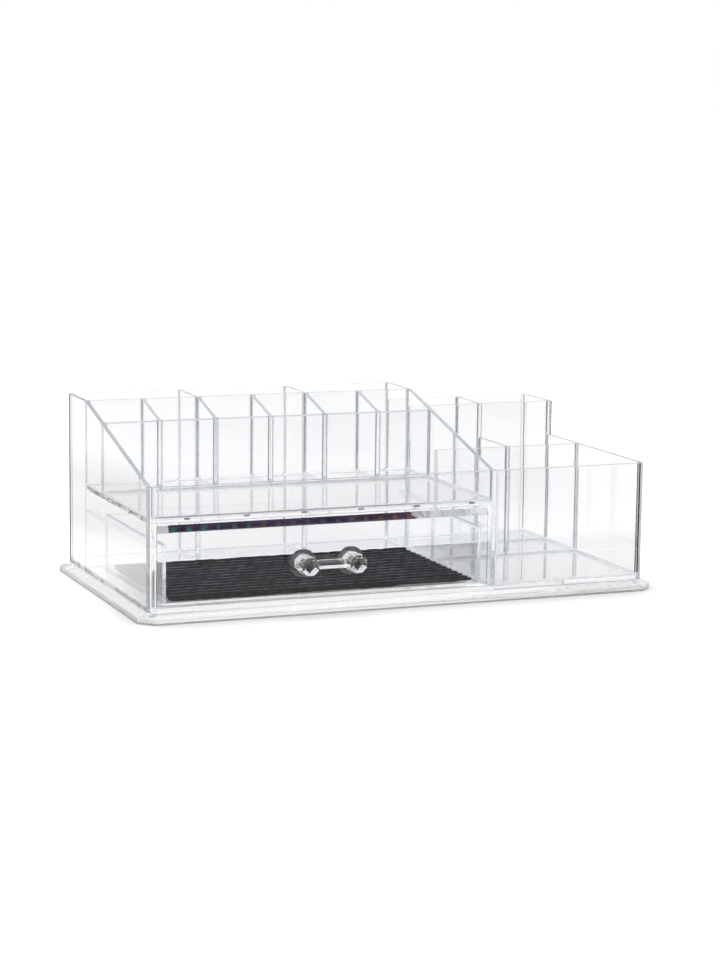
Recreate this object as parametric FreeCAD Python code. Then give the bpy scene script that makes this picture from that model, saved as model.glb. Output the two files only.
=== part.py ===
import FreeCAD, Part
import math
import os

# A clear vanity organizer: clear panels bonded on a bevelled base, with one drawer in its lower left.
# Millimetres. Origin in the middle of the base's underside, +X to the right, +Z up, the front towards -Y.

# Case, measured outside its walls, with heights above the base's deck
CASE_WIDTH = 362.0
CASE_DEPTH = 193.0
LEFT_BLOCK_WIDTH = 247.5
TALL_HEIGHT = 121.2
RIGHT_BACK_HEIGHT = 108.3
FRONT_HEIGHT = 83.0

# Sheets
WALL = 3.0
PARTITION = 2.5
DIVIDER = 2.4
FLOOR_SHEET = 3.0
INSIDE_CORNER = 2.0
BOND_LINE = 0.1

# Rows of cells: their clear depths from the back wall forwards, and how many share a row
BACK_CELL_DEPTH = 39.3
MIDDLE_CELL_DEPTH = 38.0
RIGHT_CELL_DEPTH = 47.0
BACK_CELLS = 3
MIDDLE_CELLS = 6
RIGHT_CELLS = 2

# Tray over the drawer, with its underside's height above the deck
TRAY_HEIGHT = 58.9
TRAY_SHEET = 3.0

# Base plate
BASE_LEDGE = 1.0
BASE_BEVEL_RUN = 6.0
BASE_BEVEL_RISE = 2.7
BASE_LIP = 3.8
BASE_CORNER = 9.5

# Drawer
SLIDE_GAP = 0.3
DRAWER_FRONT_SHEET = 3.0
DRAWER_FRONT_SIDE_GAP = 2.6
DRAWER_FRONT_TOP_GAP = 1.5
DRAWER_FRONT_FOOT_GAP = 1.1
DRAWER_BEVEL_HEIGHT = 4.6
DRAWER_BEVEL_DEPTH = 2.2
DRAWER_SHEET = 2.5
DRAWER_SIDE_DROP = 12.7
DRAWER_REAR_ROOM = 23.7
RAIL_WIDTH = 6.65
RAIL_SHEET = 2.3

# Handle on the drawer's front
HANDLE_HEIGHT = 23.2
POST_SPACING = 34.0
POST_FLATS = 12.0
POST_LENGTH = 17.0
POST_CHAMFER = 2.0
BAR_FLATS = 6.0
FACETS = 8

# Mesh mat in the drawer
MAT_MARGIN = 1.0
MAT_LEFT_MARGIN = 3.4
MAT_THICKNESS = 2.6
MESH_PITCH = 9.0
MESH_ROW_PITCH = 9.3
MESH_GAP_LENGTH_SHARE = 0.68
MESH_GAP_WIDTH_SHARE = 0.46

# How far a cutting shape runs past what it cuts
OVERRUN = 5.0

# Planes that the pieces share
left = -CASE_WIDTH / 2
right = CASE_WIDTH / 2
front = -CASE_DEPTH / 2
back = CASE_DEPTH / 2
deck = BASE_LIP + BASE_BEVEL_RISE
corner = INSIDE_CORNER + WALL

left_inner = left + WALL
right_inner = right - WALL
front_inner = front + WALL
back_inner = back - WALL
centre_right = left + LEFT_BLOCK_WIDTH
centre_left = centre_right - WALL

partition_back = back_inner - BACK_CELL_DEPTH
partition_front = partition_back - PARTITION
tray_mid_back = partition_front - MIDDLE_CELL_DEPTH
right_mid_back = partition_front - RIGHT_CELL_DEPTH

foot = deck + BOND_LINE
floor_top = foot + FLOOR_SHEET
inner_foot = floor_top + BOND_LINE
tray_under = deck + TRAY_HEIGHT
tray_top = tray_under + TRAY_SHEET
front_top = deck + FRONT_HEIGHT
right_back_top = deck + RIGHT_BACK_HEIGHT
tall_top = deck + TALL_HEIGHT

bay_middle = (left_inner + centre_left) / 2
rail_left = left_inner + BOND_LINE + RAIL_WIDTH
rail_right = centre_left - BOND_LINE - RAIL_WIDTH
drawer_left = rail_left + SLIDE_GAP
drawer_right = rail_right - SLIDE_GAP
drawer_front_back = front + DRAWER_FRONT_SHEET
drawer_back_face = partition_front - DRAWER_REAR_ROOM
drawer_under = floor_top + SLIDE_GAP
drawer_floor_top = drawer_under + DRAWER_SHEET
drawer_front_foot = floor_top + DRAWER_FRONT_FOOT_GAP
drawer_front_top = tray_under - DRAWER_FRONT_TOP_GAP
drawer_side_top = drawer_front_top - DRAWER_SIDE_DROP


def block(xs, ys, zs):
    """A box between two places on each axis."""
    size = [high - low for low, high in (xs, ys, zs)]
    return Part.makeBox(*size, FreeCAD.Vector(xs[0], ys[0], zs[0]))


def bonded(low, high):
    """The room between two faces, less the bond line at each."""
    return low + BOND_LINE, high - BOND_LINE


def polygon(points):
    """A flat face through points."""
    return Part.Face(Part.makePolygon(points + points[:1]))


def round_upright_edges(shape, places, radius):
    """Rounds the upright edges that stand at the given places."""
    chosen = []
    for edge in shape.Edges:
        upright = edge.BoundBox.ZLength > edge.BoundBox.XLength + edge.BoundBox.YLength
        middle = edge.BoundBox.Center
        if upright and any(math.dist((middle.x, middle.y), place) < BOND_LINE for place in places):
            chosen.append(edge)
    return shape.makeFillet(radius, chosen)


def spread(low, high, cells):
    """The dividers' spans that part the room from low to high into equal cells."""
    clear = (high - low - DIVIDER * (cells - 1)) / cells
    starts = [low + clear + (clear + DIVIDER) * i for i in range(cells - 1)]
    return [(start, start + DIVIDER) for start in starts]


def base_outline(inset, height):
    """The base's chamfered outline, drawn in by an inset, as a wire."""
    flange = BASE_LEDGE + BASE_BEVEL_RUN - inset
    cut = BASE_CORNER - inset * (2 - math.sqrt(2))
    x, y = right + flange, back + flange
    ends = [(x - cut, y), (x, y - cut), (x, cut - y), (x - cut, -y),
            (cut - x, -y), (-x, cut - y), (-x, y - cut), (cut - x, y)]
    points = [FreeCAD.Vector(px, py, height) for px, py in ends]
    return Part.makePolygon(points + points[:1])


def base_plate():
    lip = Part.Face(base_outline(0, 0)).extrude(FreeCAD.Vector(0, 0, BASE_LIP))
    bevel = Part.makeLoft([base_outline(0, BASE_LIP), base_outline(BASE_BEVEL_RUN, deck)], True, True)
    return lip.fuse(bevel).removeSplitter()


def floor_panel():
    """The floor sheet inside the walls, with a sill that runs out under the drawer's front."""
    xs = bonded(left_inner, right_inner)
    ys = bonded(front_inner, back_inner)
    sheet = block(xs, ys, (foot, floor_top))
    sheet = round_upright_edges(sheet, [(x, y) for x in xs for y in ys], INSIDE_CORNER)
    sill = block((left + corner + SLIDE_GAP, centre_right), (front, ys[0]), (foot, floor_top))
    return sheet.fuse(sill).removeSplitter()


def side_channel(outer, inward, top):
    """A side wall that turns in round both of its corners, to a level top."""
    def at(across, along):
        return FreeCAD.Vector(outer + inward * across, along, foot)

    def turn(radius, end):
        middle_y = end + math.copysign(corner, -end)
        reach = radius * math.sqrt(1 / 2)
        return at(corner - reach, middle_y + math.copysign(reach, end))

    edges = [
        Part.Arc(at(corner, front), turn(corner, front), at(0, front + corner)).toShape(),
        Part.LineSegment(at(0, front + corner), at(0, back - corner)).toShape(),
        Part.Arc(at(0, back - corner), turn(corner, back), at(corner, back)).toShape(),
        Part.LineSegment(at(corner, back), at(corner, back_inner)).toShape(),
        Part.Arc(at(corner, back_inner), turn(INSIDE_CORNER, back), at(WALL, back - corner)).toShape(),
        Part.LineSegment(at(WALL, back - corner), at(WALL, front + corner)).toShape(),
        Part.Arc(at(WALL, front + corner), turn(INSIDE_CORNER, front), at(corner, front_inner)).toShape(),
        Part.LineSegment(at(corner, front_inner), at(corner, front)).toShape(),
    ]
    section = Part.Face(Part.Wire(edges))
    return section.extrude(FreeCAD.Vector(0, 0, top - foot))


def slope_cutter():
    """All that lies over the left block's sloping line, from its front up to the partition."""
    ends = [(front - OVERRUN, front_top), (front + corner, front_top), (partition_front, tall_top),
            (partition_front, tall_top + OVERRUN), (front - OVERRUN, tall_top + OVERRUN)]
    start = left - OVERRUN
    points = [FreeCAD.Vector(start, y, z) for y, z in ends]
    return polygon(points).extrude(FreeCAD.Vector(centre_right + OVERRUN - start, 0, 0))


def left_side_panel():
    return side_channel(left, 1, tall_top).cut(slope_cutter())


def centre_side_panel():
    sheet = block((centre_left, centre_right), (front, back_inner - BOND_LINE), (inner_foot, tall_top))
    return sheet.cut(slope_cutter())


def right_side_panel():
    """The right wall, which steps down from the back row to the front."""
    channel = side_channel(right, -1, right_back_top)
    step = block((right - corner - OVERRUN, right + OVERRUN), (front - OVERRUN, partition_front),
                 (front_top, right_back_top + OVERRUN))
    return channel.cut(step)


def back_panel():
    """The back wall, which steps down behind the right block."""
    ends = bonded(left + corner, right - corner)
    tall = block((ends[0], centre_right), (back_inner, back), (foot, tall_top))
    low = block((centre_right, ends[1]), (back_inner, back), (foot, right_back_top))
    return tall.fuse(low).removeSplitter()


def right_front_panel():
    return block(bonded(centre_right, right - corner), (front, front_inner), (foot, front_top))


def tray_front_panel():
    return block(bonded(left + corner, centre_left), (front, front_inner), (tray_under, front_top))


def partitions():
    """The walls across the blocks: behind each middle row, and in front of it."""
    left_room = bonded(left_inner, centre_left)
    right_room = bonded(centre_right, right_inner)
    depth = (partition_front, partition_back)
    tray_depth = (tray_mid_back - PARTITION, tray_mid_back)
    right_depth = (right_mid_back - PARTITION, right_mid_back)
    tray_mid = block(left_room, tray_depth, (tray_top + BOND_LINE, tall_top))
    return {
        "left_partition": block(left_room, depth, (inner_foot, tall_top)),
        "right_partition": block(right_room, depth, (inner_foot, right_back_top)),
        "tray_mid_panel": tray_mid.cut(slope_cutter()),
        "right_mid_panel": block(right_room, right_depth, (inner_foot, front_top)),
    }


def dividers():
    """The small walls along the depth that part each row into its cells."""
    pieces = {}
    back_room = bonded(partition_back, back_inner)
    middle_room = bonded(tray_mid_back, partition_front)
    right_room = bonded(right_mid_back, partition_front)
    for number, span in enumerate(spread(left_inner, centre_left, BACK_CELLS), 1):
        pieces[f"back_divider_{number}"] = block(span, back_room, (inner_foot, tall_top))
    for number, span in enumerate(spread(left_inner, centre_left, MIDDLE_CELLS), 1):
        sheet = block(span, middle_room, (tray_top + BOND_LINE, tall_top))
        pieces[f"tray_divider_{number}"] = sheet.cut(slope_cutter())
    for number, span in enumerate(spread(centre_right, right_inner, RIGHT_CELLS), 1):
        pieces[f"right_back_divider_{number}"] = block(span, back_room, (inner_foot, right_back_top))
        pieces[f"right_middle_divider_{number}"] = block(span, right_room, (inner_foot, front_top))
    return pieces


def tray_floor():
    """The sheet over the drawer, rounded where it meets the left wall's turned corner."""
    xs = bonded(left_inner, centre_left)
    ys = bonded(front_inner, partition_front)
    sheet = block(xs, ys, (tray_under, tray_top))
    return round_upright_edges(sheet, [(xs[0], ys[0])], INSIDE_CORNER)


def drawer_rails():
    """Ledges on the bay's walls that keep the drawer straight and stop its front flush."""
    ys = (drawer_front_back + SLIDE_GAP, partition_front - BOND_LINE)
    zs = (drawer_side_top - RAIL_SHEET, drawer_side_top)
    start, end = bonded(left_inner, centre_left)
    left_rail = block((start, rail_left), ys, zs)
    return {
        "drawer_rail_left": round_upright_edges(left_rail, [(start, ys[0])], INSIDE_CORNER),
        "drawer_rail_right": block((rail_right, end), ys, zs),
    }


def drawer_front():
    """The drawer's face, bevelled along the top of its front."""
    start = left_inner + DRAWER_FRONT_SIDE_GAP
    width = centre_left - DRAWER_FRONT_SIDE_GAP - start
    ends = [(front, drawer_front_foot), (front, drawer_front_top - DRAWER_BEVEL_HEIGHT),
            (front + DRAWER_BEVEL_DEPTH, drawer_front_top), (drawer_front_back, drawer_front_top),
            (drawer_front_back, drawer_front_foot)]
    return polygon([FreeCAD.Vector(start, y, z) for y, z in ends]).extrude(FreeCAD.Vector(width, 0, 0))


def drawer_box():
    """The drawer's sheets behind its front."""
    depth = (drawer_front_back + BOND_LINE, drawer_back_face)
    upright = (drawer_floor_top + BOND_LINE, drawer_side_top)
    inside = bonded(drawer_left + DRAWER_SHEET, drawer_right - DRAWER_SHEET)
    return {
        "drawer_floor": block((drawer_left, drawer_right), depth, (drawer_under, drawer_floor_top)),
        "drawer_left_side": block((drawer_left, drawer_left + DRAWER_SHEET), depth, upright),
        "drawer_right_side": block((drawer_right - DRAWER_SHEET, drawer_right), depth, upright),
        "drawer_back": block(inside, (drawer_back_face - DRAWER_SHEET, drawer_back_face), upright),
    }


def facet_ring(middle, flats, along):
    """A regular faceted outline of a width across its flats, square to X or to Y."""
    radius = flats / 2 / math.cos(math.pi / FACETS)
    points = []
    for i in range(FACETS):
        angle = 2 * math.pi * (i + 1 / 2) / FACETS
        across, up = radius * math.cos(angle), radius * math.sin(angle)
        offset = FreeCAD.Vector(0, across, up) if along == "x" else FreeCAD.Vector(across, 0, up)
        points.append(middle + offset)
    return polygon(points)


def handle():
    """Two faceted posts on the drawer's front, joined by a faceted bar at the middle of their length."""
    height = drawer_front_foot + HANDLE_HEIGHT
    root = front - BOND_LINE
    tip = front - POST_LENGTH
    pieces = {}
    for name, side in (("handle_post_left", -1), ("handle_post_right", 1)):
        middle = FreeCAD.Vector(bay_middle + side * POST_SPACING / 2, root, height)
        post = facet_ring(middle, POST_FLATS, "y").extrude(FreeCAD.Vector(0, tip - root, 0))
        rim = [edge for edge in post.Edges if edge.BoundBox.YMax < (tip + root) / 2]
        pieces[name] = post.makeChamfer(POST_CHAMFER, rim)
    reach = (POST_SPACING - POST_FLATS) / 2 - BOND_LINE
    end = FreeCAD.Vector(bay_middle - reach, (root + tip) / 2, height)
    pieces["handle_bar"] = facet_ring(end, BAR_FLATS, "x").extrude(FreeCAD.Vector(2 * reach, 0, 0))
    return pieces


def mesh_gap(x, y, z):
    """One gap of the mesh: two shallow arcs that meet in points."""
    half_length = MESH_PITCH * MESH_GAP_LENGTH_SHARE / 2
    half_width = MESH_ROW_PITCH * MESH_GAP_WIDTH_SHARE / 2
    start, end = FreeCAD.Vector(x - half_length, y, z), FreeCAD.Vector(x + half_length, y, z)
    arcs = [Part.Arc(start, FreeCAD.Vector(x, y - half_width, z), end).toShape(),
            Part.Arc(end, FreeCAD.Vector(x, y + half_width, z), start).toShape()]
    return Part.Wire(arcs)


def drawer_mat():
    """The mat on the drawer's floor: one sheet with staggered rows of gaps."""
    xs = (drawer_left + DRAWER_SHEET + MAT_LEFT_MARGIN, drawer_right - DRAWER_SHEET - MAT_MARGIN)
    ys = (drawer_front_back + MAT_MARGIN, drawer_back_face - DRAWER_SHEET - MAT_MARGIN)
    z = drawer_floor_top + BOND_LINE
    columns = int((xs[1] - xs[0]) / MESH_PITCH)
    rows = int((ys[1] - ys[0]) / MESH_ROW_PITCH)
    middle_x, middle_y = sum(xs) / 2, sum(ys) / 2
    outline = Part.makePolygon([FreeCAD.Vector(x, y, z) for x, y in (
        (xs[0], ys[0]), (xs[1], ys[0]), (xs[1], ys[1]), (xs[0], ys[1]), (xs[0], ys[0]))])
    gaps = []
    for row in range(rows):
        y = middle_y + (row - (rows - 1) / 2) * MESH_ROW_PITCH
        count = columns - row % 2
        for column in range(count):
            x = middle_x + (column - (count - 1) / 2) * MESH_PITCH
            gaps.append(mesh_gap(x, y, z))
    sheet = Part.makeFace([outline] + gaps, "Part::FaceMakerCheese")
    return sheet.extrude(FreeCAD.Vector(0, 0, MAT_THICKNESS))


def all_pieces():
    pieces = {
        "base_plate": base_plate(),
        "floor_panel": floor_panel(),
        "left_side_panel": left_side_panel(),
        "centre_side_panel": centre_side_panel(),
        "right_side_panel": right_side_panel(),
        "back_panel": back_panel(),
        "right_front_panel": right_front_panel(),
        "tray_front_panel": tray_front_panel(),
        "tray_floor": tray_floor(),
        "drawer_front": drawer_front(),
        "drawer_mat": drawer_mat(),
    }
    for group in (partitions(), dividers(), drawer_rails(), drawer_box(), handle()):
        pieces.update(group)
    return pieces


os.makedirs("parts", exist_ok=True)
for name, shape in all_pieces().items():
    shape.exportStep(f"parts/{name}.step")
    box = shape.BoundBox
    spans = " ".join(f"{v:.2f}" for v in (box.XMin, box.XMax, box.YMin, box.YMax, box.ZMin, box.ZMax))
    print(f"{name:24s} valid {shape.isValid()} solids {len(shape.Solids)} box {spans}")
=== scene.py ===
import math

import bpy
from mathutils import Matrix, Vector

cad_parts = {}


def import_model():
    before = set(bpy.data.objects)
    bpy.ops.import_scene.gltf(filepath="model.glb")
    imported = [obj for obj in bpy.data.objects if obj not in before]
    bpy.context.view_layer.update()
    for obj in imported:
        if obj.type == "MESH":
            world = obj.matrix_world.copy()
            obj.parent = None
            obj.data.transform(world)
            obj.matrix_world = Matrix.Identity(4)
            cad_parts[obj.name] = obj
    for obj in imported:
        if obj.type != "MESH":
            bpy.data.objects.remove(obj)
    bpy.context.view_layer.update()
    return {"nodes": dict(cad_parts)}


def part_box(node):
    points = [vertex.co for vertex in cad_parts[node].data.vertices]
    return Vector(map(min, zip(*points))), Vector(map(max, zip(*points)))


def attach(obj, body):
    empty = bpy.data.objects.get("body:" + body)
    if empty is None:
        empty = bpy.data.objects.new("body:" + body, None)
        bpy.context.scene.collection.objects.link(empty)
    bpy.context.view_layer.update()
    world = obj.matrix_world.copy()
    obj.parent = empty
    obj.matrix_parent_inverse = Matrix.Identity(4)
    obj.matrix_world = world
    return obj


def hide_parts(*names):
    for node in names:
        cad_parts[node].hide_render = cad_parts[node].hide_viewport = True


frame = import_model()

MM = 0.001

# Where the photograph was taken from, in metres and radians
EYE = Vector((-0.66397, -1.63929, 0.35475))
LOOKED_AT = Vector((0.006766, 0.0035, 0.070391))
ROLL = 0.0134219
LENS_MM = 95.09
SENSOR_MM = 36

# How strongly the plastics bend light
SHEET_IOR = 1.49
HANDLE_IOR = 1.57
CEMENT_IOR = 1.45

# The greys that show in the plastics' depth, and how dense they are
COOL_GREY = (0.4, 0.48, 0.53)
CORNER_GREY = (0.37, 0.4, 0.46)
PANEL_DENSITY = 1.2
LEVEL_SHEET_DENSITY = 0.4
BASE_DENSITY = 0.2
HANDLE_DENSITY = 1.0
# The corner rounds' densities are painted shade: pale, grey and dark copies of one plastic
GREY_CORNER_DENSITY = 1800.0
PALE_CORNER_DENSITY = 500.0
BLACK_CORNER_DENSITY = 150.0

# The most roughness that a film gives to the plastic under it
FILM_ROUGHNESS = 0.3

# The painted grey shade on the sawn tops, in front of the back row and in it
FRONT_TOP_GREY = 0.55
BACK_TOP_GREY = 0.2

# The two painted shade lines in the turn of the back left corner, measured from the corner's back
OUTER_LINE_FRONT = 2.4 * MM
INNER_LINE_FRONT = 8.0 * MM
INNER_LINE_BACK = 5.2 * MM
LINE_FADE = 0.4 * MM
LINE_DARKNESS = 0.85

# The violet flecks of painted reflection in the tray floor's front edge
FLECK_SHIFT = 6 * MM
FLECK_HALF_WIDTH_SHARE = 0.075
FLECK_HEIGHT = 1.7 * MM

# The base's ground rim: its grey foot line of painted shade, and how satin its bevels are in three stretches
RIM_LINE_HEIGHT = 1.0 * MM
RIM_SATIN = 0.35
LEFT_RIM_SATIN = 1.8
RIGHT_RIM_SATIN = 1.0
RIGHT_RIM_START = 60 * MM
RIGHT_RIM_FULL = 100 * MM

# The drawer front's bevel with its painted reflections: beads of colour, a dark run and a white end painted as
# light
BEVEL_HEIGHT = 4.8 * MM
BEAD_SPACING = 10.4 * MM
BEAD_TOP = 1.9 * MM
AMBER_FROM = -170 * MM
AMBER_FULL = 20 * MM
DARK_RUN_FADE = -5 * MM
DARK_RUN_END = 20 * MM
WHITE_END = 2.4 * MM

# The black line of painted shade down the right front corner: how far it reaches along the two walls
BLACK_ALONG_SIDE = 5 * MM
BLACK_ALONG_FRONT = 20 * MM

# The broken edges of the sheets, the base and the handle
SHEET_EDGE = 0.35 * MM
BASE_EDGE = 0.5 * MM
HANDLE_EDGE = 0.15 * MM
SHEET_EDGE_STEPS = 3
HANDLE_EDGE_STEPS = 2
WELD = 0.002 * MM
FLAT_WITHIN = math.radians(0.5)
SHARP_FROM = math.radians(30)

# The mesh mat's weave
MAT_COLUMNS = 24
MAT_ROWS = 13
GAP_LENGTH_SHARE = 0.68
GAP_WIDTH_SHARE = 0.46
STRAND = 2.0 * MM
RIDGE_RISE = 1.1 * MM
BACK_EDGE_RISE = 1.3 * MM
TOOTH_DEPTH = 3.4 * MM
CURLED_LENGTH = 55 * MM
CURL = (0, 0.5 * MM, 1.2 * MM)
FOAM_LUMPS = 6 * MM
FOAM_UNEVENNESS = 1.0 * MM
MAT_WELD = 0.01 * MM
MAT_RIM = 1 * MM

# The hollow rounds inside the cells
FOOT_ROUND = 2.0 * MM
CORNER_ROUND = 1.2 * MM
FRONT_CELL_CORNER_ROUND = 2.4 * MM
HOLLOW_REACH = 0.985
HOLLOW_PROFILE = 0.083
FOOT_STEPS = 7
CORNER_STEPS = 6
HAIR = 0.06 * MM
SLOPE_START = 5 * MM

# The collars at the handle's posts: each step draws the ring in and raises it
COLLAR_RADIUS = 9.6 * MM
COLLAR_SIDES = 48
BORE_MARGIN = 0.25 * MM
FACE_MARGIN = 0.01 * MM
COLLAR_STEPS = (
    (0.9 * MM, 0.03 * MM),
    (0.8 * MM, 0.05 * MM),
    (0.7 * MM, 0.06 * MM),
    (0.55 * MM, 0.06 * MM),
)

# The cement in two joints at the left wall
CEMENT_LINE = 0.1 * MM
CEMENT_FILM = 0.02 * MM
CEMENT_LUMPS = 4 * MM
SEAM_FRONT = 4 * MM
SEAM_BACK = 3 * MM

# The floor, and the direction across the photograph on it
FLOOR_SIZE = 12
FLOOR_DROP = 0.15 * MM
ACROSS_VIEW = (0.926, -0.378, 0)
CONTACT_REACH = 35 * MM
CONTACT_RAYS = 8

# Stretches of the floor and the room as the plastic shows them: from, to, and the brightness at both ends
RIGHT_FLAG = (0.26, 0.42, 1.0, 0.3)
LEFT_FLAG = (-1.0, -0.75, 0.7, 1.0)
FRONT_SEEN_THROUGH = (-1.0, -0.5, 0.28, 0.8)
RIGHT_BLOCK_SEEN_THROUGH = (0.03, 0.1, 1.0, 0.84)
FRONT_MIRRORED = (-0.51, -0.47, 0.8, 0.03)
RIGHT_FRONT_MIRRORED = (0.2, 0.32, 1.0, 0.05)
NEAR_LEFT_MIRRORED = (-0.34, -0.26, 0.05, 1.0)
FAR_LEFT_MIRRORED = (-0.6, -0.48, 1.0, 0.05)
BEHIND_MIRRORED = (-0.12, 0.12, 0.03, 0.8)
CEILING = (0.6, 0.95, 1.0, 0.8)
FRONT_OF_ROOM = (-0.7, -0.1, 0.3, 1.0)

# In the same form, the open floor's shade round the object, and the stretch where its paint turns paler
CONTACT_SHADE = (0.4, 1.0, 0.4, 1.0)
FLOOR_PAINT = (-0.14, 0.0, 0.0, 1.0)

# The soft box
LAMP_PLACE = (-0.5, -0.3, 1.5)
LAMP_AIM = Vector((0, 0, 0.05))
LAMP_WIDTH = 1.2
LAMP_DEPTH = 0.8
LAMP_WATTS = 14

# How often light may turn on its way, as it passes through many sheets one behind the other
BOUNCES = 128
UNBENT_BOUNCES = 64

# The sockets of a Mix node for colours, whose names its other kinds share
MIX_SHARE, MIX_FIRST, MIX_SECOND = 0, 6, 7
MIX_RESULT = 2


def start_clean():
    """Leaves edit mode and deselects everything, so that an operator acts on the new piece alone."""
    if bpy.context.mode != "OBJECT":
        bpy.ops.object.mode_set(mode="OBJECT")
    bpy.ops.object.select_all(action="DESELECT")


def use(*pieces):
    """Selects pieces and makes the first the active one."""
    start_clean()
    for piece in pieces:
        piece.select_set(True)
    bpy.context.view_layer.objects.active = pieces[0]


def pick(piece, kind, chosen):
    """Opens a piece in edit mode with only the vertices, edges or faces that a test chooses."""
    use(piece)
    bpy.ops.object.mode_set(mode="EDIT")
    bpy.ops.mesh.select_mode(type=kind)
    bpy.ops.mesh.select_all(action="DESELECT")
    bpy.ops.object.mode_set(mode="OBJECT")
    mesh = piece.data
    if kind == "EDGE":
        for edge in mesh.edges:
            edge.select = chosen(*(mesh.vertices[i].co for i in edge.vertices))
    elif kind == "FACE":
        for face in mesh.polygons:
            face.select = chosen(face.center)
    else:
        for vertex in mesh.vertices:
            vertex.select = chosen(vertex.co)
    bpy.ops.object.mode_set(mode="EDIT")


def settle(piece, name):
    """Names a new piece and puts its place and size into its mesh."""
    piece.name = piece.data.name = name
    use(piece)
    bpy.ops.object.transform_apply(location=True, rotation=True, scale=True)


def finish_mesh(piece, smooth_angle):
    """Merges doubles, turns the faces outwards and smooths all but the sharp edges."""
    use(piece)
    bpy.ops.object.mode_set(mode="EDIT")
    bpy.ops.mesh.select_all(action="SELECT")
    bpy.ops.mesh.remove_doubles(threshold=WELD)
    bpy.ops.mesh.normals_make_consistent(inside=False)
    bpy.ops.object.mode_set(mode="OBJECT")
    bpy.ops.object.shade_smooth_by_angle(angle=math.radians(smooth_angle))


def apply_all(piece):
    """Applies a piece's modifiers in turn."""
    use(piece)
    for name in [modifier.name for modifier in piece.modifiers]:
        bpy.ops.object.modifier_apply(modifier=name)


def give(piece, material):
    """Makes a material the only one on a piece."""
    piece.data.materials.clear()
    piece.data.materials.append(material)


def new_nodes(name):
    """An empty node tree of a new material, with its output."""
    material = bpy.data.materials.new(name)
    material.use_nodes = True
    tree = material.node_tree
    tree.nodes.clear()
    return material, tree, tree.nodes.new("ShaderNodeOutputMaterial")


def node(tree, kind, **sockets):
    """A node with its sockets set by name."""
    made = tree.nodes.new(kind)
    for name, value in sockets.items():
        made.inputs[name.replace("_", " ")].default_value = value
    return made


def math_node(tree, operation, first, second=0):
    """A Math node between two outputs, or an output and a number."""
    made = tree.nodes.new("ShaderNodeMath")
    made.operation = operation
    for socket, value in zip(made.inputs, (first, second)):
        if isinstance(value, (int, float)):
            socket.default_value = value
        else:
            tree.links.new(value, socket)
    return made.outputs[0]


def times(tree, first, second):
    """The product of two values."""
    return math_node(tree, "MULTIPLY", first, second)


def larger(tree, first, second):
    """The larger of two values."""
    return math_node(tree, "MAXIMUM", first, second)


def axes(tree, place):
    """The X, Y and Z of a place or a direction."""
    parts = node(tree, "ShaderNodeSeparateXYZ")
    tree.links.new(place, parts.inputs[0])
    return parts.outputs["X"], parts.outputs["Y"], parts.outputs["Z"]


def ramp(tree, source, *stops):
    """A colour ramp fed by a value, from pairs of place and colour."""
    made = tree.nodes.new("ShaderNodeValToRGB")
    elements = made.color_ramp.elements
    while len(elements) < len(stops):
        elements.new(0.5)
    for element, (place, colour) in zip(elements, stops):
        element.position = place
        element.color = (*colour, 1)
    tree.links.new(source, made.inputs["Fac"])
    return made.outputs["Color"]


def blend(tree, share, first, second):
    """A mix of a colour with another, by share."""
    made = node(tree, "ShaderNodeMix")
    made.data_type = "RGBA"
    tree.links.new(share, made.inputs[MIX_SHARE])
    tree.links.new(first, made.inputs[MIX_FIRST])
    if isinstance(second, tuple):
        made.inputs[MIX_SECOND].default_value = (*second, 1)
    else:
        tree.links.new(second, made.inputs[MIX_SECOND])
    return made.outputs[MIX_RESULT]


def shader_mix(tree, share, first, second):
    """A mix of a shader with another, by share."""
    made = node(tree, "ShaderNodeMixShader")
    for socket, source in zip(made.inputs, (share, first, second)):
        tree.links.new(source, socket)
    return made.outputs[0]


def ranged(tree, source, low, high, at_low, at_high):
    """A value mapped from one range to another."""
    made = node(tree, "ShaderNodeMapRange", From_Min=low, From_Max=high, To_Min=at_low, To_Max=at_high)
    tree.links.new(source, made.inputs["Value"])
    return made.outputs["Result"]


def past(tree, value, edge, fade, most=1.0):
    """0 before an edge, then a short fade, and the most past it."""
    return ranged(tree, value, edge, edge + fade, 0.0, most)


def before(tree, value, edge, fade, most=1.0):
    """The most before an edge, then a short fade, and 0 past it."""
    return ranged(tree, value, edge, edge + fade, most, 0.0)


def noise(tree, place, scale, detail=2.0, **sockets):
    """A noise on the piece's own coordinates."""
    made = node(tree, "ShaderNodeTexNoise", Scale=scale, Detail=detail, **sockets)
    tree.links.new(place, made.inputs["Vector"])
    return made.outputs["Fac"]


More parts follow.
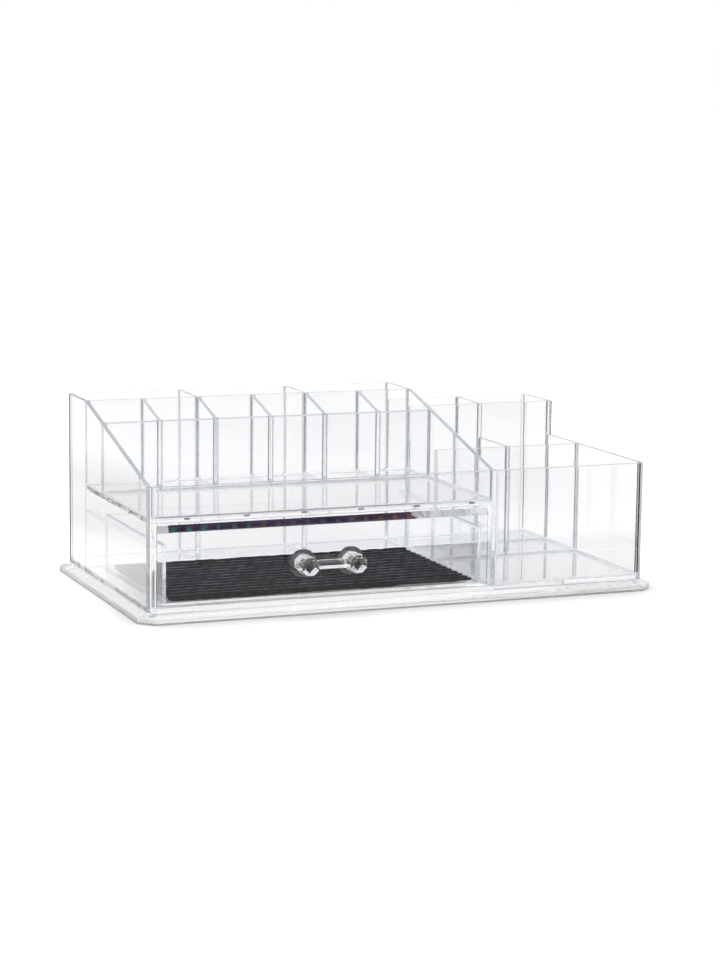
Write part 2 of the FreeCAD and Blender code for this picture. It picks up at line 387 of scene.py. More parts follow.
def clear_plastic(name, ior, absorbed, density, film=None):
    """Clear moulded plastic: flow tint, slow ripple, wipe marks, a grey in depth, and any film of painted
    light on it.
    """
    material, tree, output = new_nodes(name)
    link = tree.links.new
    place = node(tree, "ShaderNodeTexCoord").outputs["Object"]
    flow = noise(tree, place, scale=14.0, detail=3.0, Distortion=0.6)
    tint = ramp(tree, flow, (0.35, (0.982, 0.985, 0.99)), (0.62, (0.993, 0.994, 0.997)))
    wiping = node(tree, "ShaderNodeMapping", Scale=(30.0, 260.0, 90.0))
    link(place, wiping.inputs["Vector"])
    wiped = noise(tree, wiping.outputs["Vector"], scale=9.0, detail=5.0, Roughness=0.7)
    haze = ranged(tree, wiped, 0.68, 0.9, 0.0, 0.02)
    ripple = node(tree, "ShaderNodeBump", Strength=0.004, Distance=0.001)
    link(noise(tree, place, scale=26.0, detail=1.0, Distortion=0.3), ripple.inputs["Height"])

    plastic = node(tree, "ShaderNodeBsdfPrincipled", IOR=ior, Transmission_Weight=1.0)
    link(tint, plastic.inputs["Base Color"])
    link(ripple.outputs["Normal"], plastic.inputs["Normal"])
    surface = plastic.outputs[0]
    if film:
        dull, share, colour = film(tree, place)
        haze = larger(tree, haze, times(tree, dull, FILM_ROUGHNESS))
        matt = node(tree, "ShaderNodeBsdfDiffuse")
        link(colour, matt.inputs["Color"])
        surface = shader_mix(tree, share, surface, matt.outputs[0])
    link(haze, plastic.inputs["Roughness"])

    lamp_through = node(tree, "ShaderNodeBsdfTransparent", Color=(0.94, 0.95, 0.96, 1))
    to_lamp = node(tree, "ShaderNodeLightPath").outputs["Is Shadow Ray"]
    link(shader_mix(tree, to_lamp, surface, lamp_through.outputs[0]), output.inputs["Surface"])

    depth = node(tree, "ShaderNodeVolumeAbsorption", Color=(*absorbed, 1), Density=density)
    link(depth.outputs[0], output.inputs["Volume"])
    return material


def tilt(tree):
    """How level a face is: 1 for one that faces straight up or down, 0 for an upright one."""
    facing = node(tree, "ShaderNodeTexCoord").outputs["Normal"]
    return math_node(tree, "ABSOLUTE", axes(tree, facing)[2])


# Each film gives how dull the plastic under it is, how much of the film shows, and its colour; the colours are
# painted shade, reflection and light


def sawn_tops_painted_shade(tree, place):
    """Painted grey shade on the matt sawn tops and slopes, paler in the back row, and two painted shade lines
    in the back left corner.
    """
    x, y, _ = axes(tree, place)
    edge = past(tree, tilt(tree), 0.4, 0.2)
    back_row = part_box("left_partition")[1].y
    # Painted shade: a grey on the tops, heavier in front of the back row than in it
    top = times(tree, edge, ranged(tree, y, back_row, back_row + 1 * MM, FRONT_TOP_GREY, BACK_TOP_GREY))
    low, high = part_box("left_side_panel")
    # Two dark lines painted as shade in the turn of the back left corner
    turn = before(tree, x, low.x + 1 * MM, 1 * MM, LINE_DARKNESS)
    outer = past(tree, y, high.y - OUTER_LINE_FRONT, LINE_FADE)
    inner = times(tree, past(tree, y, high.y - INNER_LINE_FRONT, LINE_FADE),
                  before(tree, y, high.y - INNER_LINE_BACK, LINE_FADE))
    lines = times(tree, turn, larger(tree, outer, inner))
    grain = noise(tree, place, scale=220.0, detail=3.0)
    grey = ramp(tree, grain, (0.3, (0.42, 0.45, 0.49)), (0.7, (0.56, 0.59, 0.63)))
    return edge, larger(tree, top, lines), blend(tree, lines, grey, (0.02, 0.025, 0.03))


def painted_reflection_flecks(tree, place):
    """Small violet flecks of painted reflection in the tray floor's front edge, one to each small cell behind
    it.
    """
    x, y, z = axes(tree, place)
    # Painted reflections: one violet fleck to each small cell behind the edge
    first, second = (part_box(f"tray_divider_{i}")[0].x for i in (1, 2))
    cells = math_node(tree, "DIVIDE", math_node(tree, "SUBTRACT", x, first + FLECK_SHIFT), second - first)
    off_middle = math_node(tree, "SUBTRACT", math_node(tree, "FRACT", cells), 0.5)
    ragged = times(tree, noise(tree, place, scale=500.0, detail=3.0), 0.06)
    reach = math_node(tree, "ADD", math_node(tree, "ABSOLUTE", off_middle), ragged)
    fleck = before(tree, reach, FLECK_HALF_WIDTH_SHARE, 0.015)
    low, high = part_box("tray_floor")
    front = before(tree, y, low.y + 0.1 * MM, 0.1 * MM)
    upper = past(tree, z, high.z - FLECK_HEIGHT, 0.5 * MM, 0.8)
    share = times(tree, fleck, times(tree, front, upper))
    violet = ramp(tree, noise(tree, place, scale=300.0), (0.4, (0.1, 0.1, 0.25)), (0.6, (0.25, 0.25, 0.45)))
    return times(tree, share, 0.1), share, violet


def ground_rim_painted_shade(tree, place):
    """A thin grey line of painted shade at the foot of the ground rim, and a satin bevel, duller at its left
    and right.
    """
    x, _, z = axes(tree, place)
    upright = before(tree, tilt(tree), 0.85, 0.1)
    # A grey line painted as shade at the foot of the rim
    line = times(tree, upright, before(tree, z, RIM_LINE_HEIGHT, 0.5 * MM))
    share = larger(tree, times(tree, line, 0.65), times(tree, upright, 0.03))
    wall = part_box("left_side_panel")[0].x
    satin = larger(tree, ranged(tree, x, wall - 0.3 * MM, wall, LEFT_RIM_SATIN, RIM_SATIN),
                   ranged(tree, x, RIGHT_RIM_START, RIGHT_RIM_FULL, RIM_SATIN, RIGHT_RIM_SATIN))
    grain = noise(tree, place, scale=150.0, detail=3.0)
    grey = ramp(tree, grain, (0.3, (0.36, 0.37, 0.38)), (0.7, (0.5, 0.51, 0.52)))
    return times(tree, upright, satin), share, grey


def bevel_painted_reflections(tree, place):
    """The drawer front's bevel with painted reflections: beads of teal and green on violet, amber rightwards,
    and a white left end painted as light.
    """
    x, _, z = axes(tree, place)
    patchy = noise(tree, place, scale=130.0, detail=3.0, Roughness=0.6)
    # Beads of colour painted as reflections along the bevel
    beat = math_node(tree, "SINE", times(tree, x, 2 * math.pi / BEAD_SPACING))
    bead = past(tree, math_node(tree, "ADD", beat, times(tree, patchy, 1.6)), 1.1, 0.6)
    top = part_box("drawer_front")[1].z
    beads = times(tree, bead, before(tree, z, top - BEAD_TOP, 0.5 * MM))
    rightwards = ranged(tree, x, AMBER_FROM, AMBER_FULL, 0.0, 0.75)
    hue = math_node(tree, "ADD", times(tree, patchy, 0.35), rightwards)
    hues = ramp(tree, hue, (0.1, (0.03, 0.22, 0.22)), (0.3, (0.05, 0.24, 0.19)), (0.45, (0.11, 0.16, 0.08)),
                (0.6, (0.1, 0.12, 0.28)), (0.75, (0.32, 0.16, 0.06)), (0.95, (0.36, 0.18, 0.07)))
    violet = ramp(tree, patchy, (0.35, (0.035, 0.018, 0.05)), (0.65, (0.12, 0.06, 0.15)))
    bevel = past(tree, z, top - BEVEL_HEIGHT, 0.4 * MM)
    mat_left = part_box("drawer_mat")[0].x
    # A white painted on the bevel's left end as light
    painted_white_end = before(tree, x, mat_left - WHITE_END, 0.5 * MM, 0.9)
    # A dark run painted as reflection, fading out rightwards
    painted_dark_run = times(tree, ranged(tree, beads, 0.0, 1.0, 0.45, 0.6),
                     ranged(tree, x, DARK_RUN_FADE, DARK_RUN_END, 1.0, 0.0))
    share = times(tree, bevel, larger(tree, painted_dark_run, painted_white_end))
    colours = blend(tree, beads, violet, hues)
    return times(tree, bevel, painted_white_end), share, blend(tree, painted_white_end, colours, (0.97, 0.97, 0.98))


def black_corner_painted_shade(tree, place):
    """The black line of painted shade down the right front corner, where the turn of the walls shows its dark
    side.
    """
    x, y, _ = axes(tree, place)
    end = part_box("right_front_panel")[1]
    # Black painted as shade down the front corner
    front = before(tree, y, end.y + BLACK_ALONG_SIDE, 1 * MM, 0.95)
    right = past(tree, x, end.x - BLACK_ALONG_FRONT, 1 * MM)
    share = times(tree, front, right)
    grain = noise(tree, place, scale=200.0)
    return share, share, ramp(tree, grain, (0.3, (0.006, 0.007, 0.008)), (0.7, (0.02, 0.021, 0.024)))


def foam_mesh_black(name):
    """Dead matt black foam on yarn: pitted, uneven, with painted highlights on its ridge tops and painted
    shade on their fronts.
    """
    material, tree, output = new_nodes(name)
    link = tree.links.new
    place = node(tree, "ShaderNodeTexCoord").outputs["Object"]
    _, y, z = axes(tree, place)
    blotch = noise(tree, place, scale=60.0, detail=4.0)
    low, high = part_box("drawer_mat")
    # Painted highlight: paler towards the tops of the ridges
    painted_crown_highlight = ranged(tree, z, low.z, high.z + 1.0 * MM, 0.0, 0.8)
    shade = math_node(tree, "ADD", painted_crown_highlight, times(tree, blotch, 0.25))
    black = ramp(tree, shade, (0.5, (0.003, 0.003, 0.004)), (0.66, (0.01, 0.01, 0.013)),
                 (0.82, (0.068, 0.069, 0.084)))
    rows = math_node(tree, "DIVIDE", math_node(tree, "SUBTRACT", y, low.y), (high.y - low.y) / MAT_ROWS)
    wavy = math_node(tree, "ADD", rows, ranged(tree, blotch, 0.3, 0.7, 0.44, 0.56))
    # Painted shade: darker on the fronts of the ridges
    painted_ridge_shade = ranged(tree, math_node(tree, "FRACT", wavy), 0.34, 0.46, 1.0, 0.0)
    pits = node(tree, "ShaderNodeTexVoronoi", Scale=1500.0)
    link(place, pits.inputs["Vector"])
    bump = node(tree, "ShaderNodeBump", Strength=0.5, Distance=0.0003)
    link(pits.outputs["Distance"], bump.inputs["Height"])
    foam = node(tree, "ShaderNodeBsdfPrincipled", Specular_IOR_Level=0.0)
    link(blend(tree, painted_ridge_shade, black, (0.002, 0.002, 0.003)), foam.inputs["Base Color"])
    link(ranged(tree, blotch, 0.3, 0.7, 0.85, 1.0), foam.inputs["Roughness"])
    link(bump.outputs["Normal"], foam.inputs["Normal"])
    link(foam.outputs[0], output.inputs["Surface"])
    return material


def bubbly_cement(name):
    """Cement that has wet a joint in patches: dark where it bridges, bright flecks where it holds air."""
    material, tree, output = new_nodes(name)
    link = tree.links.new
    place = node(tree, "ShaderNodeTexCoord").outputs["Object"]
    drawn_out = node(tree, "ShaderNodeMapping", Scale=(1.0, 0.35, 1.0))
    link(place, drawn_out.inputs["Vector"])
    patches = noise(tree, drawn_out.outputs["Vector"], scale=300.0, detail=3.0, Distortion=0.8)
    bubbles = node(tree, "ShaderNodeTexVoronoi", Scale=420.0)
    link(place, bubbles.inputs["Vector"])
    cement = node(tree, "ShaderNodeBsdfPrincipled", IOR=CEMENT_IOR)
    colour = ramp(tree, patches, (0.38, (0.9, 0.92, 0.93)), (0.46, (0.4, 0.44, 0.48)),
                  (0.53, (0.02, 0.025, 0.05)))
    link(colour, cement.inputs["Base Color"])
    link(ranged(tree, bubbles.outputs["Distance"], 0.1, 0.7, 0.15, 0.5), cement.inputs["Roughness"])
    link(ranged(tree, patches, 0.46, 0.56, 0.1, 0.95), cement.inputs["Alpha"])
    bump = node(tree, "ShaderNodeBump", Strength=0.4, Distance=0.0003)
    link(bubbles.outputs["Distance"], bump.inputs["Height"])
    link(bump.outputs["Normal"], cement.inputs["Normal"])
    link(cement.outputs[0], output.inputs["Surface"])
    return material


def round_sheet_edges(sheet, width, steps):
    """Breaks a CAD sheet's sharp edges: loose triangles joined, flat faces made one, then bevelled."""
    weld = sheet.modifiers.new("join", "WELD")
    weld.merge_threshold = WELD
    flat = sheet.modifiers.new("flat faces", "DECIMATE")
    flat.decimate_type = "DISSOLVE"
    flat.angle_limit = FLAT_WITHIN
    soft = sheet.modifiers.new("broken edges", "BEVEL")
    soft.width = width
    soft.segments = steps
    soft.limit_method = "ANGLE"
    soft.angle_limit = SHARP_FROM
    soft.harden_normals = False


def dress_solids():
    """Gives every CAD solid but the mat its plastic and its broken edges."""
    level_sheets = ("tray_floor", "floor_panel", "drawer_floor", "drawer_rail_left", "drawer_rail_right")
    for name, piece in frame["nodes"].items():
        if name == "drawer_mat":
            continue
        plastic, edge, steps = panel_plastic, SHEET_EDGE, SHEET_EDGE_STEPS
        if name.startswith("handle"):
            plastic, edge, steps = handle_plastic, HANDLE_EDGE, HANDLE_EDGE_STEPS
        elif name == "base_plate":
            plastic, edge = base_plastic, BASE_EDGE
        elif name == "drawer_front":
            plastic = front_plastic
        elif name in level_sheets:
            plastic = sheet_plastic
        give(piece, plastic)
        round_sheet_edges(piece, edge, steps)


def mat_gap(pitch, row_pitch):
    """One gap of the mesh, modelled once: a small grid with a lozenge opened at its middle."""
    start_clean()
    bpy.ops.mesh.primitive_grid_add(x_subdivisions=2, y_subdivisions=2, size=1.0, location=(0, 0, 0))
    gap = bpy.context.object
    pick(gap, "VERT", lambda place: place.length < 0.1)
    bpy.ops.mesh.bevel(offset=GAP_LENGTH_SHARE / 2, affect="VERTICES")
    pick(gap, "FACE", lambda place: place.length < 0.05)
    bpy.ops.transform.resize(value=(1, GAP_WIDTH_SHARE / GAP_LENGTH_SHARE, 1))
    bpy.ops.mesh.delete(type="FACE")
    bpy.ops.mesh.select_all(action="SELECT")
    bpy.ops.transform.resize(value=(pitch, row_pitch, 1))
    bpy.ops.object.mode_set(mode="OBJECT")
    return gap


def mesh_sheet(low, high, pitch, row_pitch):
    """The flat mesh: its gap repeated in staggered rows, joined, and cut to width through the gaps."""
    gap = mat_gap(pitch, row_pitch)
    middle = (low + high) / 2
    strips = []
    for row in range(MAT_ROWS):
        count = MAT_COLUMNS + row % 2
        use(gap)
        bpy.ops.object.duplicate()
        strip = bpy.context.object
        along = strip.modifiers.new("row", "ARRAY")
        along.count = count
        along.use_relative_offset = False
        along.use_constant_offset = True
        along.constant_offset_displace = (pitch, 0, 0)
        along.use_merge_vertices = True
        along.merge_threshold = MAT_WELD
        bpy.ops.object.modifier_apply(modifier=along.name)
        strip.location = (middle.x - (count - 1) / 2 * pitch, low.y + (row + 0.5) * row_pitch, low.z)
        strips.append(strip)
    use(gap)
    bpy.ops.object.delete()
    use(*strips)
    bpy.ops.object.join()
    sheet = bpy.context.object
    settle(sheet, "mesh_mat")
    bpy.ops.object.mode_set(mode="EDIT")
    bpy.ops.mesh.select_all(action="SELECT")
    bpy.ops.mesh.remove_doubles(threshold=MAT_WELD)
    for side, normal in (((low.x, 0, 0), (-1, 0, 0)), ((high.x, 0, 0), (1, 0, 0))):
        bpy.ops.mesh.select_all(action="SELECT")
        bpy.ops.mesh.bisect(plane_co=side, plane_no=normal, clear_outer=True)
    return sheet


def weave_mat(low, high):
    """The mesh mat: a flat mesh given ridges, teeth at its right and a curled corner, then thickened."""
    row_pitch = (high.y - low.y) / MAT_ROWS
    mat = mesh_sheet(low, high, (high.x - low.x) / MAT_COLUMNS, row_pitch)

    def rows_back(place):
        return (place.y - low.y) / row_pitch

    def on_ridge(place):
        return rows_back(place) > 0.5 and abs(rows_back(place) - round(rows_back(place))) < 0.05

    def on_back_edge(place):
        return place.y > high.y - MAT_RIM

    def between_teeth(place):
        return place.x > high.x - MAT_RIM and abs(rows_back(place) % 1 - 0.5) < 0.4

    def on_curled_corner(place):
        return place.x > high.x - CURLED_LENGTH and place.y < low.y + MAT_RIM

    moves = (
        (on_ridge, (0, 0, RIDGE_RISE)),
        (on_back_edge, (0, 0, BACK_EDGE_RISE)),
        (between_teeth, (-TOOTH_DEPTH, 0, 0)),
        (on_curled_corner, CURL),
    )
    for chosen, shift in moves:
        pick(mat, "VERT", chosen)
        bpy.ops.transform.translate(value=shift)
    bpy.ops.object.mode_set(mode="OBJECT")

    foam = mat.modifiers.new("foam", "SOLIDIFY")
    foam.thickness = STRAND
    foam.offset = 1
    strands = mat.modifiers.new("round strands", "SUBSURF")
    strands.levels = strands.render_levels = 2
    lumps = bpy.data.textures.new("mat lumps", "CLOUDS")
    lumps.noise_scale = FOAM_LUMPS
    uneven = mat.modifiers.new("uneven foam", "DISPLACE")
    uneven.texture = lumps
    uneven.direction = "Z"
    uneven.strength = FOAM_UNEVENNESS
    uneven.mid_level = 0.25
    apply_all(mat)
    finish_mesh(mat, smooth_angle=60)
    return mat


def foot_cove(name, low, high, radius):
    """The hollow round at a cell's foot: a frame on its floor, its inner top edge hollowed to the walls."""
    start_clean()
    middle = (low + high) / 2
    bpy.ops.mesh.primitive_plane_add(size=1, location=(middle.x, middle.y, low.z))
    cove = bpy.context.object
    cove.scale = (high.x - low.x, high.y - low.y, 1)
    settle(cove, name)
    bpy.ops.object.mode_set(mode="EDIT")
    bpy.ops.mesh.select_all(action="SELECT")
    bpy.ops.mesh.inset(thickness=radius)
    bpy.ops.mesh.delete(type="FACE")
    bpy.ops.mesh.select_all(action="SELECT")
    bpy.ops.mesh.extrude_region_move(TRANSFORM_OT_translate={"value": (0, 0, radius)})
    bpy.ops.mesh.select_all(action="SELECT")
    bpy.ops.mesh.normals_make_consistent(inside=False)

    def inner_top(place):
        inside_x = abs(place.x - middle.x) < (high.x - low.x - radius) / 2
        inside_y = abs(place.y - middle.y) < (high.y - low.y - radius) / 2
        return inside_x and inside_y and place.z > low.z + radius / 2

    pick(cove, "EDGE", lambda a, b: inner_top(a) and inner_top(b))
    bpy.ops.mesh.bevel(offset=radius * HOLLOW_REACH, segments=FOOT_STEPS, profile=HOLLOW_PROFILE,
                       clamp_overlap=False)
    bpy.ops.object.mode_set(mode="OBJECT")
    finish_mesh(cove, smooth_angle=35)
    return cove


def upright_coves(name, low, high, radius, slope=None):
    """The hollow rounds in a cell's four upright corners, cut along the sloping top where there is one."""
    bars = []
    for x, inwards_x in ((low.x, radius), (high.x, -radius)):
        for y, inwards_y in ((low.y, radius), (high.y, -radius)):
            start_clean()
            middle = (x + inwards_x / 2, y + inwards_y / 2, (low.z + high.z) / 2)
            bpy.ops.mesh.primitive_cube_add(size=1, location=middle)
            bar = bpy.context.object
            bar.scale = (radius, radius, high.z - low.z)
            settle(bar, name)
            edge = Vector((x + inwards_x, y + inwards_y))
            pick(bar, "EDGE", lambda a, b: max((a.xy - edge).length, (b.xy - edge).length) < radius / 4)
            bpy.ops.mesh.bevel(offset=radius * HOLLOW_REACH, segments=CORNER_STEPS, profile=HOLLOW_PROFILE,
                               clamp_overlap=False)
            if slope:
                bpy.ops.mesh.select_all(action="SELECT")
                bpy.ops.mesh.bisect(plane_co=slope[0], plane_no=slope[1], use_fill=True, clear_outer=True)
            bars.append(bar)
    use(*bars)
    bpy.ops.object.join()
    coves = bpy.context.object
    coves.name = coves.data.name = name
    finish_mesh(coves, smooth_angle=35)
    return coves


def round_cell(name, low, high, slope, corner_plastic, corner_radius):
    """A cell's hollow rounds, at its foot and in its corners, a hair off the sheets they are bonded to."""
    hair = Vector((HAIR, HAIR, HAIR))
    low, high = low + hair, high - hair
    foot = foot_cove(name + "_foot_round", low, high, FOOT_ROUND)
    above = Vector((low.x, low.y, low.z + FOOT_ROUND + HAIR))
    corners = upright_coves(name + "_corner_rounds", above, high, corner_radius, slope)
    for piece, plastic in ((foot, foot_plastic), (corners, corner_plastic)):
        give(piece, plastic)
        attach(piece, "case")


def between(low, high, *dividers):
    """The clear spans that dividers leave between two walls."""
    starts = [low] + [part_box(divider)[1].x for divider in dividers]
    ends = [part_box(divider)[0].x for divider in dividers] + [high]
    return list(zip(starts, ends))


def round_all_cells():
    """Hollow rounds in the rows of cells and in the tray."""
    left_room = (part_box("left_partition")[0].x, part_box("left_partition")[1].x)
    right_room = (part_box("right_partition")[0].x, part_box("right_partition")[1].x)
    back_cells = between(*left_room, "back_divider_1", "back_divider_2")
    tray_cells = between(*left_room, *(f"tray_divider_{i}" for i in range(1, 6)))
    right_back_cells = between(*right_room, "right_back_divider_1")
    right_middle_cells = between(*right_room, "right_middle_divider_1")

    back_row = (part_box("left_partition")[1].y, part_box("back_panel")[0].y)
    middle_row = (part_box("tray_mid_panel")[1].y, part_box("left_partition")[0].y)
    right_row = (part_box("right_mid_panel")[1].y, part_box("right_partition")[0].y)
    tray_row = (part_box("tray_front_panel")[1].y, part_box("tray_mid_panel")[0].y)
    front_row = (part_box("right_front_panel")[1].y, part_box("right_mid_panel")[0].y)

    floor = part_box("floor_panel")[1].z
    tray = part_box("tray_floor")[1].z
    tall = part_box("left_partition")[1].z
    low_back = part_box("right_partition")[1].z
    low_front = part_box("right_mid_panel")[1].z
    slope_foot = Vector((0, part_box("left_side_panel")[0].y + SLOPE_START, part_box("tray_front_panel")[1].z))
    slope_rise = Vector((0, middle_row[1], tall)) - slope_foot
    slope = (slope_foot, Vector((0, -slope_rise.z, slope_rise.y)).normalized())

    # The corner plastics are painted shade, made pale, grey and dark row by row
    grey = (grey_corner_plastic, CORNER_ROUND)
    pale = (pale_corner_plastic, CORNER_ROUND)
    black = (black_corner_plastic, FRONT_CELL_CORNER_ROUND)
    rows = (
        ("back_cell", back_cells, back_row, floor, tall, None, pale),
        ("tray_cell", tray_cells, middle_row, tray, tall, slope, grey),
        ("right_back_cell", right_back_cells, back_row, floor, low_back, None, grey),
        ("right_middle_cell", right_middle_cells, right_row, floor, low_front, None, grey),
        ("front_tray", [left_room], tray_row, tray, tall, slope, grey),
        ("right_front_cell", [right_room], front_row, floor, low_front, None, black),
    )
    for name, spans, depth, foot, top, cut, corners in rows:
        for number, span in enumerate(spans, 1):
            low = Vector((span[0], depth[0], foot))
            high = Vector((span[1], depth[1], top))
            round_cell(f"{name}_{number}", low, high, cut, *corners)


def post_collar(name, post):
    """The flared root of a handle post: a low domed ring that sits on the drawer's face."""
    low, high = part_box(post)
    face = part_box("drawer_front")[0].y - HAIR
    middle = Vector(((low.x + high.x) / 2, face, (low.z + high.z) / 2))
    bore = COLLAR_RADIUS - sum(drawn_in for drawn_in, _ in COLLAR_STEPS)
    height = sum(raised for _, raised in COLLAR_STEPS)
    start_clean()
    bpy.ops.mesh.primitive_circle_add(vertices=COLLAR_SIDES, radius=COLLAR_RADIUS, fill_type="NGON",
                                      location=middle, rotation=(math.radians(90), 0, 0))
    collar = bpy.context.object
    settle(collar, name)
    bpy.ops.object.mode_set(mode="EDIT")
    bpy.ops.mesh.select_all(action="SELECT")
    for drawn_in, raised in COLLAR_STEPS:
        bpy.ops.mesh.inset(thickness=drawn_in)
        bpy.ops.transform.translate(value=(0, -raised, 0))
    bpy.ops.mesh.delete(type="ONLY_FACE")
    pick(collar, "EDGE", lambda a, b: max((a - middle).length, (b - middle).length) < bore + BORE_MARGIN)
    bpy.ops.mesh.extrude_region_move(TRANSFORM_OT_translate={"value": (0, height, 0)})
    pick(collar, "EDGE", lambda a, b: min(a.y, b.y) > face - FACE_MARGIN)
    bpy.ops.mesh.bridge_edge_loops()
    finish_mesh(collar, smooth_angle=40)
    give(collar, handle_plastic)
    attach(collar, "drawer")


def cement_seam(name, low, high):
    """A thin irregular film of cement in a joint against the left wall."""
    start_clean()
    middle = (low + high) / 2
    bpy.ops.mesh.primitive_grid_add(x_subdivisions=6, y_subdivisions=160, size=1, location=middle,
                                    rotation=(0, math.radians(90), 0))
    film = bpy.context.object
    film.scale = (high.z - low.z, high.y - low.y, 1)
    settle(film, name)
    lumps = bpy.data.textures.new("cement lumps", "CLOUDS")
    lumps.noise_scale = CEMENT_LUMPS
    uneven = film.modifiers.new("uneven film", "DISPLACE")
    uneven.texture = lumps
    uneven.strength = CEMENT_FILM
    body = film.modifiers.new("film", "SOLIDIFY")
    body.thickness = CEMENT_FILM
    body.offset = 0
    apply_all(film)
    finish_mesh(film, smooth_angle=40)
    give(film, seam_cement)
    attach(film, "case")


def cement_joints():
    """The cement between the left wall and the tray's floor, and between it and the floor panel."""
    tray_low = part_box("tray_floor")[0]
    wall_face = tray_low.x - CEMENT_LINE / 2
    for name, sheet in (("tray_seam", "tray_floor"), ("floor_seam", "floor_panel")):
        sheet_low, sheet_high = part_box(sheet)
        low = Vector((wall_face, tray_low.y + SEAM_FRONT, sheet_low.z))
        high = Vector((wall_face, sheet_high.y - SEAM_BACK, sheet_high.z))
        cement_seam(name, low, high)


def place_camera():
    """The photograph's own view."""
    back = (EYE - LOOKED_AT).normalized()
    right = (-back).cross(Vector((0, 0, 1))).normalized()
    up = right.cross(-back)
    across = right * math.cos(ROLL) + up * math.sin(ROLL)
    upright = up * math.cos(ROLL) - right * math.sin(ROLL)
    lens = bpy.data.cameras.new("view")
    lens.sensor_width = SENSOR_MM
    lens.lens = LENS_MM
    camera = bpy.data.objects.new("view", lens)
    camera.matrix_world = Matrix.Translation(EYE) @ Matrix((across, upright, back)).transposed().to_4x4()
    bpy.context.scene.collection.objects.link(camera)
    bpy.context.scene.camera = camera


def floor_glow(tree, place):
    """How bright the floor is: white, shaded where it meets the object, dimmer as the plastic shows it."""
    x, y, _ = axes(tree, place)
    path = node(tree, "ShaderNodeLightPath")
    across = tree.nodes.new("ShaderNodeVectorMath")
    across.operation = "DOT_PRODUCT"
    across.inputs[1].default_value = ACROSS_VIEW
    tree.links.new(place, across.inputs[0])
    sideways = across.outputs["Value"]

    flags = times(tree, ranged(tree, sideways, *RIGHT_FLAG), ranged(tree, sideways, *LEFT_FLAG))
    through = times(tree, flags, ranged(tree, y, *FRONT_SEEN_THROUGH))
    through = times(tree, through, ranged(tree, sideways, *RIGHT_BLOCK_SEEN_THROUGH))
    in_front = times(tree, ranged(tree, y, *FRONT_MIRRORED), ranged(tree, x, *RIGHT_FRONT_MIRRORED))
    beside = larger(tree, ranged(tree, sideways, *NEAR_LEFT_MIRRORED),
                    ranged(tree, sideways, *FAR_LEFT_MIRRORED))
    behind = times(tree, beside, ranged(tree, y, *BEHIND_MIRRORED))
    mirrored = times(tree, larger(tree, behind, in_front), flags)

    contact = node(tree, "ShaderNodeAmbientOcclusion", Distance=CONTACT_REACH)
    contact.samples = CONTACT_RAYS
    open_floor = ranged(tree, contact.outputs["AO"], *CONTACT_SHADE)
    in_glass = times(tree, path.outputs["Is Transmission Ray"], through)
    in_gloss = times(tree, path.outputs["Is Glossy Ray"], mirrored)
    in_view = times(tree, path.outputs["Is Camera Ray"], open_floor)
    return larger(tree, larger(tree, in_glass, in_gloss), in_view)


def pale_floor():
    """A white floor, with a darker paint in front of the object than behind it."""
    start_clean()
    bpy.ops.mesh.primitive_plane_add(size=FLOOR_SIZE, location=(0, 0, -FLOOR_DROP))
    floor = bpy.context.object
    settle(floor, "pale_floor")
    material, tree, output = new_nodes("pale floor")
    link = tree.links.new
    place = node(tree, "ShaderNodeTexCoord").outputs["Object"]
    glow = node(tree, "ShaderNodeEmission", Color=(1, 1, 1, 1))
    link(floor_glow(tree, place), glow.inputs["Strength"])
    paint = node(tree, "ShaderNodeBsdfDiffuse")
    backwards = ranged(tree, axes(tree, place)[1], *FLOOR_PAINT)
    link(ramp(tree, backwards, (0.0, (0.06, 0.06, 0.06)), (1.0, (0.3, 0.3, 0.3))), paint.inputs["Color"])
    both = node(tree, "ShaderNodeAddShader")
    link(glow.outputs[0], both.inputs[0])
    link(paint.outputs[0], both.inputs[1])
    link(both.outputs[0], output.inputs["Surface"])
    give(floor, material)


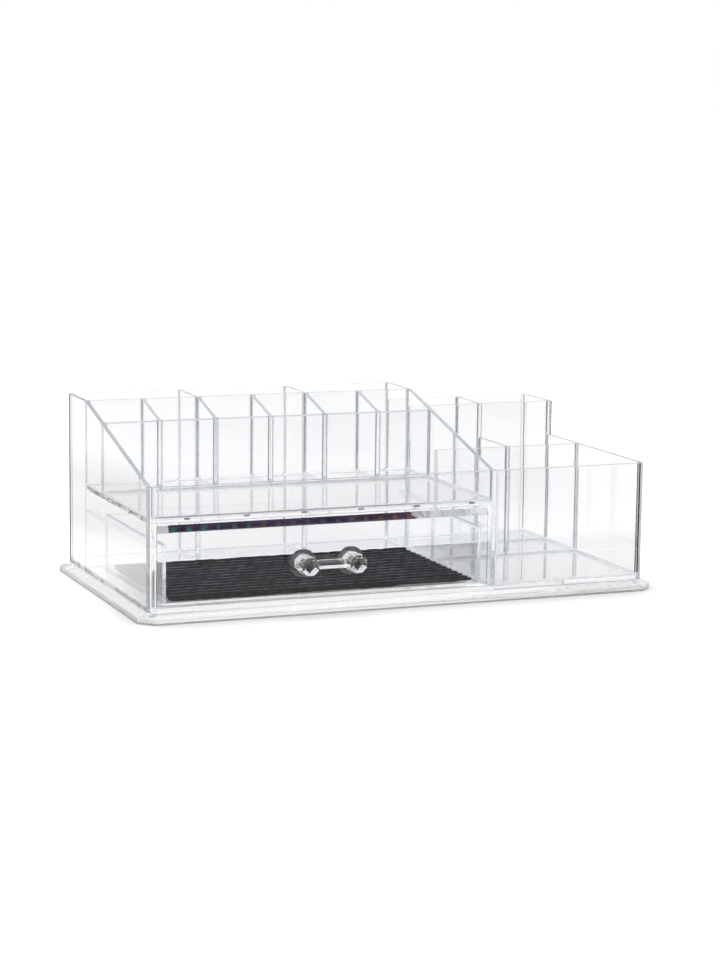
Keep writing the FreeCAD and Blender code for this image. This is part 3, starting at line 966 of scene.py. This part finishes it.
def studio_light():
    """A white horizon under a dimmer ceiling, darker behind the camera, and one broad soft lamp."""
    world = bpy.data.worlds.new("studio")
    bpy.context.scene.world = world
    world.use_nodes = True
    tree = world.node_tree
    tree.nodes.clear()
    link = tree.links.new
    output = tree.nodes.new("ShaderNodeOutputWorld")
    _, y, z = axes(tree, node(tree, "ShaderNodeTexCoord").outputs["Generated"])
    room = node(tree, "ShaderNodeBackground", Color=(1, 1, 1, 1))
    link(times(tree, ranged(tree, z, *CEILING), ranged(tree, y, *FRONT_OF_ROOM)), room.inputs["Strength"])
    white = node(tree, "ShaderNodeBackground", Color=(1, 1, 1, 1), Strength=1.0)
    in_view = node(tree, "ShaderNodeLightPath").outputs["Is Camera Ray"]
    link(shader_mix(tree, in_view, room.outputs[0], white.outputs[0]), output.inputs["Surface"])

    lamp = bpy.data.lights.new("soft box", "AREA")
    lamp.shape = "RECTANGLE"
    lamp.size = LAMP_WIDTH
    lamp.size_y = LAMP_DEPTH
    lamp.energy = LAMP_WATTS
    box = bpy.data.objects.new("soft box", lamp)
    box.location = LAMP_PLACE
    box.rotation_euler = (LAMP_AIM - box.location).to_track_quat("-Z", "Y").to_euler()
    bpy.context.scene.collection.objects.link(box)


scene = bpy.context.scene
scene.view_settings.view_transform = "Standard"
scene.cycles.max_bounces = BOUNCES
scene.cycles.transmission_bounces = BOUNCES
scene.cycles.glossy_bounces = BOUNCES
scene.cycles.transparent_max_bounces = UNBENT_BOUNCES

place_camera()
pale_floor()
studio_light()

panel_plastic = clear_plastic("clear panel plastic", SHEET_IOR, COOL_GREY, PANEL_DENSITY, sawn_tops_painted_shade)
sheet_plastic = clear_plastic("clear level sheet plastic", SHEET_IOR, COOL_GREY, LEVEL_SHEET_DENSITY,
                              painted_reflection_flecks)
front_plastic = clear_plastic("bevelled front plastic", SHEET_IOR, COOL_GREY, PANEL_DENSITY, bevel_painted_reflections)
foot_plastic = clear_plastic("clear foot round plastic", SHEET_IOR, COOL_GREY, PANEL_DENSITY)
# Painted shade: the corner plastics are copies of one plastic, darker and paler in depth by where they stand
grey_corner_plastic = clear_plastic("grey corner plastic", SHEET_IOR, CORNER_GREY, GREY_CORNER_DENSITY)
black_corner_plastic = clear_plastic("dark corner plastic", SHEET_IOR, CORNER_GREY, BLACK_CORNER_DENSITY,
                                     black_corner_painted_shade)
pale_corner_plastic = clear_plastic("pale corner plastic", SHEET_IOR, CORNER_GREY, PALE_CORNER_DENSITY)
base_plastic = clear_plastic("thick base plastic", SHEET_IOR, COOL_GREY, BASE_DENSITY, ground_rim_painted_shade)
handle_plastic = clear_plastic("faceted handle plastic", HANDLE_IOR, COOL_GREY, HANDLE_DENSITY)
mat_foam = foam_mesh_black("black foam mesh")
seam_cement = bubbly_cement("bubbly cement")

dress_solids()

mat = weave_mat(*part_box("drawer_mat"))
give(mat, mat_foam)
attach(mat, "drawer")
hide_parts("drawer_mat")

round_all_cells()
post_collar("left_post_collar", "handle_post_left")
post_collar("right_post_collar", "handle_post_right")
cement_joints()
